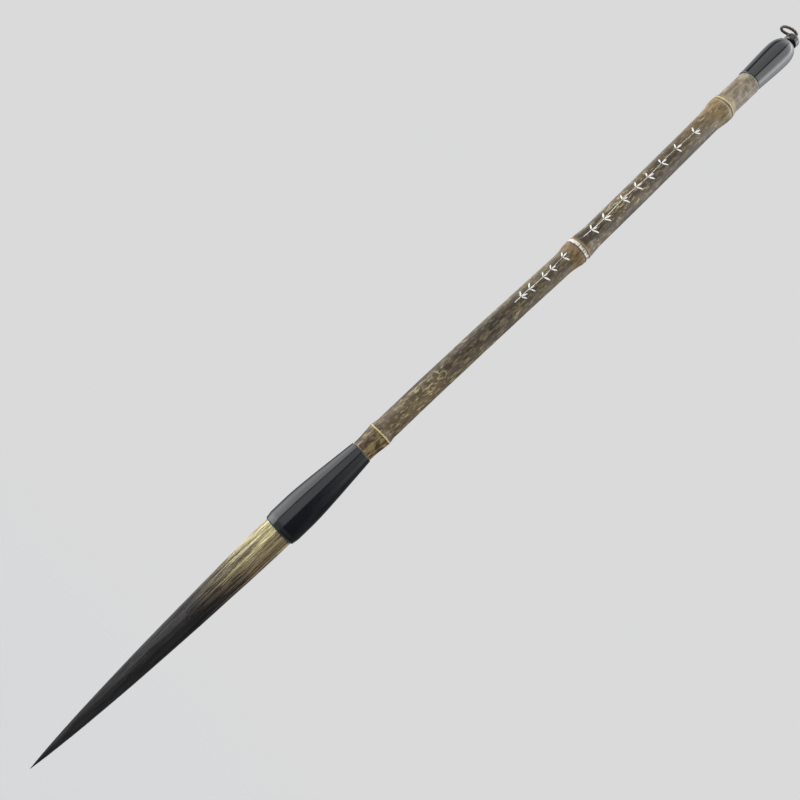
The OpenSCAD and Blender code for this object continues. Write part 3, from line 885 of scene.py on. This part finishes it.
def sprig_tree():
    """A stem along the culm with clusters of three leaves, laid flat and then wrapped on to the culm."""
    tree, given, result = new_tree(
        "leaf_sprig", Culm="Object", Clusters="Int", Seed="Int", Low="Float", High="Float", Side="Float",
        Leaf_Length="Float", Leaf_Width="Float", Half_Thick="Float", Stem_Radius="Float", Paint="Material",
    )

    def chance(low, high, number, shift):
        """A random value for each number."""
        seed = total(tree, given["Seed"], float(shift))
        return node(tree, "FunctionNodeRandomValue", low, high, number, seed, data_type="FLOAT").outputs[1]

    def sway(height):
        """How far the stem strays to one side at a height."""
        swing = maths(tree, "SINE", total(tree, product(tree, height, SWAYS_PER_METRE), given["Seed"]))
        return product(tree, swing, SWAY)

    factor = geometry(tree, "SplineParameter")
    leaf = geometry(tree, "CurvePrimitiveLine", (0, 0, 0), (0, 0, 1))
    leaf = geometry(tree, "ResampleCurve", leaf, None, 11)
    bend = product(tree, factor, factor, 0.10)
    along = point(tree, bend, 0.0, total(tree, factor, LEAF_GAP))
    leaf = geometry(tree, "SetPosition", leaf, None, along)
    open_part = product(tree, factor, maths(tree, "SUBTRACT", 1.0, factor))
    belly = total(tree, product(tree, maths(tree, "POWER", open_part, 0.8), 1.5), 0.01)
    ring = geometry(tree, "CurvePrimitiveCircle", 8, 1.0)
    leaf = geometry(tree, "CurveToMesh", leaf, ring, belly, True)
    shape = geometry(tree, "InputPosition")
    leaf_size = point(tree, given["Leaf Width"], given["Half Thick"], given["Leaf Length"])
    leaf = geometry(tree, "SetPosition", leaf, None, vectors(tree, "MULTIPLY", shape, leaf_size))

    index = geometry(tree, "InputIndex")
    cluster = maths(tree, "FLOOR", maths(tree, "DIVIDE", index, 3.0))
    which = maths(tree, "SUBTRACT", index, product(tree, cluster, 3.0))
    stem_length = maths(tree, "SUBTRACT", given["High"], given["Low"])
    step = maths(tree, "DIVIDE", stem_length, given["Clusters"])
    place_on_stem = total(tree, cluster, chance(0.32, 0.68, cluster, 1))
    height = total(tree, given["Low"], product(tree, place_on_stem, step))
    spot = point(tree, sway(height), 0.0, height)
    points = geometry(tree, "Points", product(tree, given["Clusters"], 3.0), spot)
    lower, middle, upper = [
        product(tree, maths(tree, "COMPARE", which, float(k), 0.1), LEAF_SPREAD[k]) for k in range(3)
    ]
    lean = total(tree, total(tree, lower, middle), total(tree, upper, chance(-0.2, 0.2, index, 2)))
    facing = point(tree, 0.0, lean, 0.0)
    size = chance(0.8, 1.15, index, 3)
    leaves = geometry(tree, "InstanceOnPoints", points, None, leaf, None, None, facing, size)
    leaves = geometry(tree, "RealizeInstances", leaves)

    stem = geometry(tree, "CurvePrimitiveLine", (0, 0, 0), (0, 0, 1))
    stem = geometry(tree, "ResampleCurve", stem, None, 90)
    rise = total(tree, given["Low"], product(tree, factor, stem_length))
    stem = geometry(tree, "SetPosition", stem, None, point(tree, sway(rise), 0.0, rise))
    slim = product(tree, mapped(tree, factor, 0.0, 1.0, 1.0, 0.45), given["Stem Radius"])
    stem_ring = geometry(tree, "CurvePrimitiveCircle", 6, 1.0)
    stem = geometry(tree, "CurveToMesh", stem, stem_ring, slim, True)
    joined = tree.nodes.new("GeometryNodeJoinGeometry")
    tree.links.new(leaves, joined.inputs[0])
    tree.links.new(stem, joined.inputs[0])

    flat = parts(tree, geometry(tree, "InputPosition"))
    around = total(tree, given["Side"], maths(tree, "DIVIDE", flat["X"], WRAP_R))
    towards_front = product(tree, maths(tree, "COSINE", around), -1.0)
    outward = point(tree, maths(tree, "SINE", around), towards_front, 0.0)
    level = point(tree, 0.0, 0.0, flat["Z"])
    source = vectors(tree, "ADD", vectors(tree, "SCALE", outward, RAY_START_R), level)
    culm_skin = node(tree, "GeometryNodeObjectInfo", given["Culm"]).outputs["Geometry"]
    hit = tree.nodes.new("GeometryNodeRaycast")
    tree.links.new(culm_skin, hit.inputs["Target Geometry"])
    tree.links.new(source, hit.inputs["Source Position"])
    tree.links.new(vectors(tree, "SCALE", outward, -1.0), hit.inputs["Ray Direction"])
    hit.inputs["Ray Length"].default_value = RAY_LENGTH
    raised = vectors(tree, "SCALE", outward, total(tree, flat["Y"], PROUD))
    wrapped = vectors(tree, "ADD", hit.outputs["Hit Position"], raised)
    sprig = geometry(tree, "SetPosition", joined.outputs[0], None, wrapped)
    completed(tree, sprig, given["Paint"], result)
    return tree


pigment, tree, shader, place = new_material("white_pigment")
chips = node(tree, "ShaderNodeTexNoise", place, 2600, 3.0).outputs[0]
white = ramp(tree, chips, ((0.34, (0.42, 0.40, 0.36, 1)), (0.5, (0.74, 0.74, 0.72, 1))))
painted(tree, shader, white, 0.7, chips, 0.3, 0.00003)

sprigs = sprig_tree()
for name, clusters, low, high, seed in (
    ("leaf_sprig_lower", 5, node_2_z - 0.0300, node_2_z - 0.0040, 3),
    ("leaf_sprig_upper", 8, node_2_z + 0.0045, node_2_z + 0.0640, 8),
):
    sprig = grown(
        name, sprigs, Culm=culm, Clusters=clusters, Seed=seed, Low=low, High=high, Side=SPRIG_SIDE,
        Leaf_Length=LEAF_LENGTH, Leaf_Width=LEAF_WIDTH, Half_Thick=LEAF_HALF_THICK,
        Stem_Radius=SPRIG_STEM_R, Paint=pigment,
    )
    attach(sprig, "handle")


# ---- Tail cap and button ----
# The cap is turned from the same black material but polished bright, and glued over the culm's upper end.
# The button is a small rounded disc whose neck is glued into the cap; the cord comes out through its middle.
cap_low, cap_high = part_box("tail_cap")
cap_length = cap_high.z - cap_low.z
cap_r = cap_high.x
CAP_MOUTH_R = 0.0046
NECK_R = 0.00185
SPIGOT_HOLE_R = 0.0033
CHAMBER_R = 0.0026
BUTTON_STEM = 0.004
CORD_R = 0.000525
STRING_HOLE_R = 0.0012
button_low, button_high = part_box("tail_button")
button_r = button_high.x
button_z = button_low.z + BUTTON_STEM
BUTTON_EDGE = 0.0009
HOLE_EDGE = 0.00015

gloss_paint, tree, shader, place = new_material("polished_black_horn")
haze = streaks(tree, place, 320, 0.4, 4.0)
grain = streaks(tree, place, 1900, 2.0)
black = ramp(tree, haze, ((0.35, (0.006, 0.0062, 0.007, 1)), (0.7, (0.011, 0.011, 0.012, 1))))
painted(tree, shader, black, mapped(tree, haze, 0.3, 0.75, 0.1, 0.17), grain, 0.03, 0.00002)
shader.inputs["Coat Weight"].default_value = 0.2
shader.inputs["Coat Roughness"].default_value = 0.08

spigot_end = cap_low.z + SPIGOT_LENGTH + 0.0003
chamber_end = button_low.z - 0.0001
widest_z = cap_low.z + 0.7 * cap_length
cap_wall = curve([
    (CAP_MOUTH_R, cap_low.z + FINE_ROUND),
    (CAP_MOUTH_R + 0.0003, cap_low.z + 0.006),
    (cap_r, cap_low.z + 0.5 * cap_length),
    (cap_r, widest_z),
], 30)
cap_dome = curve([
    (cap_r, widest_z),
    (cap_r, cap_low.z + 0.88 * cap_length),
    (NECK_R + 0.0021, cap_low.z + 0.955 * cap_length),
    (NECK_R + 0.0001, cap_high.z),
], 36)
cap_outline = (
    arc((CAP_MOUTH_R - FINE_ROUND, cap_low.z + FINE_ROUND), FINE_ROUND, -90, 0, 5)
    + cap_wall[1:]
    + cap_dome[1:]
    + [(NECK_R + 0.00003, cap_high.z - 0.00015), (NECK_R + 0.00002, chamber_end), (CHAMBER_R, chamber_end)]
    + [(CHAMBER_R, spigot_end), (SPIGOT_HOLE_R, spigot_end), (SPIGOT_HOLE_R, cap_low.z + 0.0001)]
    + [(SPIGOT_HOLE_R + 0.0001, cap_low.z)]
)
cap = shown("tail_cap_shell", turned("tail_cap_shell", cap_outline, closed=True), gloss_paint)
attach(cap, "handle")
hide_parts("tail_cap")

button_outline = (
    [(STRING_HOLE_R, button_low.z), (NECK_R, button_low.z), (NECK_R, button_z)]
    + arc((button_r - BUTTON_EDGE, button_z + BUTTON_EDGE), BUTTON_EDGE, -70, 0, 10)
    + arc((button_r - BUTTON_EDGE, button_high.z - BUTTON_EDGE), BUTTON_EDGE, 0, 90, 12)
    + arc((STRING_HOLE_R + HOLE_EDGE, button_high.z - HOLE_EDGE), HOLE_EDGE, 90, 180, 4)
)
button = shown("cord_button", turned("cord_button", button_outline, 96, closed=True), gloss_paint)
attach(button, "handle")
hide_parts("tail_button")


# ---- Hanging cord ----
# A thin waxed cord of three twisted strands. It is knotted in the cap, comes up through the button's hole,
# makes a small loop that has set to one side, and goes back down the same hole.
STRAND_OFFSET = 0.00062
CORD_RISE = 0.00062
LOOP_HALF = (
    (0, -0.62, 0), (-0.2, -0.8, 0.42), (-0.8, -1.15, 0.64), (-1.8, -1.5, 0.52), (-3, -1.72, 0.15),
    (-4.2, -1.7, -0.3), (-5.2, -1.4, -0.65), (-5.9, -0.8, -0.88), (-6.15, 0, -0.95),
)
CORD_LAYS = 26
CORD_FACETS = 24
GROOVE_SHARE = 0.84

loop_z = button_high.z + CORD_RISE
knot_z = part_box("loop_knot")[1].z
half = [Vector((x, y, z)) / 1000 + Vector((0, 0, loop_z)) for x, y, z in LOOP_HALF]
inside = [Vector((0, -STRAND_OFFSET, knot_z + (loop_z - knot_z) * i / 5)) for i in range(5)]
there = inside + half
back = [Vector((p.x, -p.y, p.z)) for p in reversed(there[:-1])]
cord_points = there + back


def cord_tree():
    """A cord of three strands twisted together, swept along the curve it is given."""
    tree, given, result = new_tree(
        "twisted_cord", Route="Geometry", Radius="Float", Lays="Float", Rings="Int", Paint="Material",
    )
    route = geometry(tree, "ResampleCurve", given["Route"], None, given["Rings"])
    factor = geometry(tree, "SplineParameter")
    turn = product(tree, product(tree, factor, given["Lays"]), 2 * math.pi / 3)
    route = geometry(tree, "SetCurveTilt", route, None, turn)
    ring = geometry(tree, "CurvePrimitiveCircle", CORD_FACETS, 1.0)
    index = geometry(tree, "InputIndex")
    lobe = maths(tree, "ABSOLUTE", maths(tree, "SINE", product(tree, index, 3 * math.pi / CORD_FACETS)))
    swell = mapped(tree, lobe, 0, 1, GROOVE_SHARE, 1.0, smooth=False)
    spot = vectors(tree, "SCALE", geometry(tree, "InputPosition"), swell)
    ring = geometry(tree, "SetPosition", ring, None, spot)
    cord = geometry(tree, "CurveToMesh", route, ring, given["Radius"], True)
    completed(tree, cord, given["Paint"], result)
    return tree


def smooth_line(points, steps):
    """Points of a smooth line through the given ones."""
    ends = [2 * points[0] - points[1], *points, 2 * points[-1] - points[-2]]
    line = []
    for a, b, c, d in zip(ends, ends[1:], ends[2:], ends[3:]):
        for i in range(steps):
            t = i / steps
            square, cube = 2 * a - 5 * b + 4 * c - d, 3 * b - a - 3 * c + d
            line.append(0.5 * (2 * b + (c - a) * t + square * t * t + cube * t ** 3))
    return line + [points[-1]]


cord_paint, tree, shader, place = new_material("waxed_cord")
wax = node(tree, "ShaderNodeTexNoise", place, 900, 3.0).outputs[0]
fuzz = node(tree, "ShaderNodeTexNoise", place, 9000, 2.0).outputs[0]
brown = ramp(tree, wax, ((0.35, (0.030, 0.017, 0.012, 1)), (0.7, (0.085, 0.052, 0.038, 1))))
painted(tree, shader, brown, 0.4, fuzz, 0.4, 0.00002)


def line_curve(name, points):
    """A curve through these points."""
    made = bpy.data.curves.new(name, "CURVE")
    made.dimensions = "3D"
    spline = made.splines.new("POLY")
    spline.points.add(len(points) - 1)
    for stop, p in zip(spline.points, points):
        stop.co = (*p, 1)
    return made


cord_line = smooth_line(cord_points, 6)
cords = cord_tree()
twist = dict(Radius=CORD_R, Lays=CORD_LAYS, Paint=cord_paint)
cord = grown("hanging_cord", cords, line_curve("cord_route", cord_line), Rings=240, **twist)
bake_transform(cord)
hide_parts("hanging_loop", "cord_tails")


# ---- Knot inside the cap ----
# Both ends of the cord are tied together in one overhand knot. It rests under the button's stem, where the
# hole is too small for it, and so it keeps the cord from pulling out.
KNOT_SCALE = 0.00044
KNOT_RISE = 1.5
KNOT_STEPS = 90

knot_low, knot_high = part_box("loop_knot")
knot_middle = (knot_low.z + knot_high.z) / 2
knot_line = []
for i in range(KNOT_STEPS + 1):
    a = 2 * math.pi * i / KNOT_STEPS
    x, y = math.sin(a) + 2 * math.sin(2 * a), math.cos(a) - 2 * math.cos(2 * a)
    knot_line.append(KNOT_SCALE * Vector((x, y, -KNOT_RISE * math.sin(3 * a))) + Vector((0, 0, knot_middle)))
knot = grown("overhand_knot", cords, line_curve("knot_route", knot_line), Rings=160, **twist)
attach(knot, "handle")
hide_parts("loop_knot")


# ---- Glue, thread and resin inside ----
# The tuft's root is bound with thread and sealed with melted resin before it is glued into the ferrule. Thin
# films of glue hold the culm's two turned ends. All of it is hidden in the finished brush.
GLUE_FILMS = ("tenon_glue", "cap_glue", "seat_glue")
for name, nodes, dark, light, scale, stretch, roughness in (
    ("set_glue", GLUE_FILMS, (0.42, 0.36, 0.22, 1), (0.62, 0.56, 0.40, 1), 700, 1.0, 0.35),
    ("binding_thread", ("root_binding",), (0.30, 0.25, 0.17, 1), (0.62, 0.56, 0.44, 1), 900, 4.0, 0.8),
    ("melted_resin", ("root_resin",), (0.10, 0.035, 0.008, 1), (0.36, 0.17, 0.04, 1), 500, 1.0, 0.2),
):
    paint, tree, shader, place = new_material(name)
    mottle = streaks(tree, place, scale, stretch, 3.0)
    painted(tree, shader, ramp(tree, mottle, ((0.35, dark), (0.65, light))), roughness)
    for hidden in nodes:
        frame["nodes"][hidden].data.materials.clear()
        frame["nodes"][hidden].data.materials.append(paint)


# ---- Size of the finished brush ----
# The lowest and highest corners of the solid model and of this one.
low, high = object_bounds()
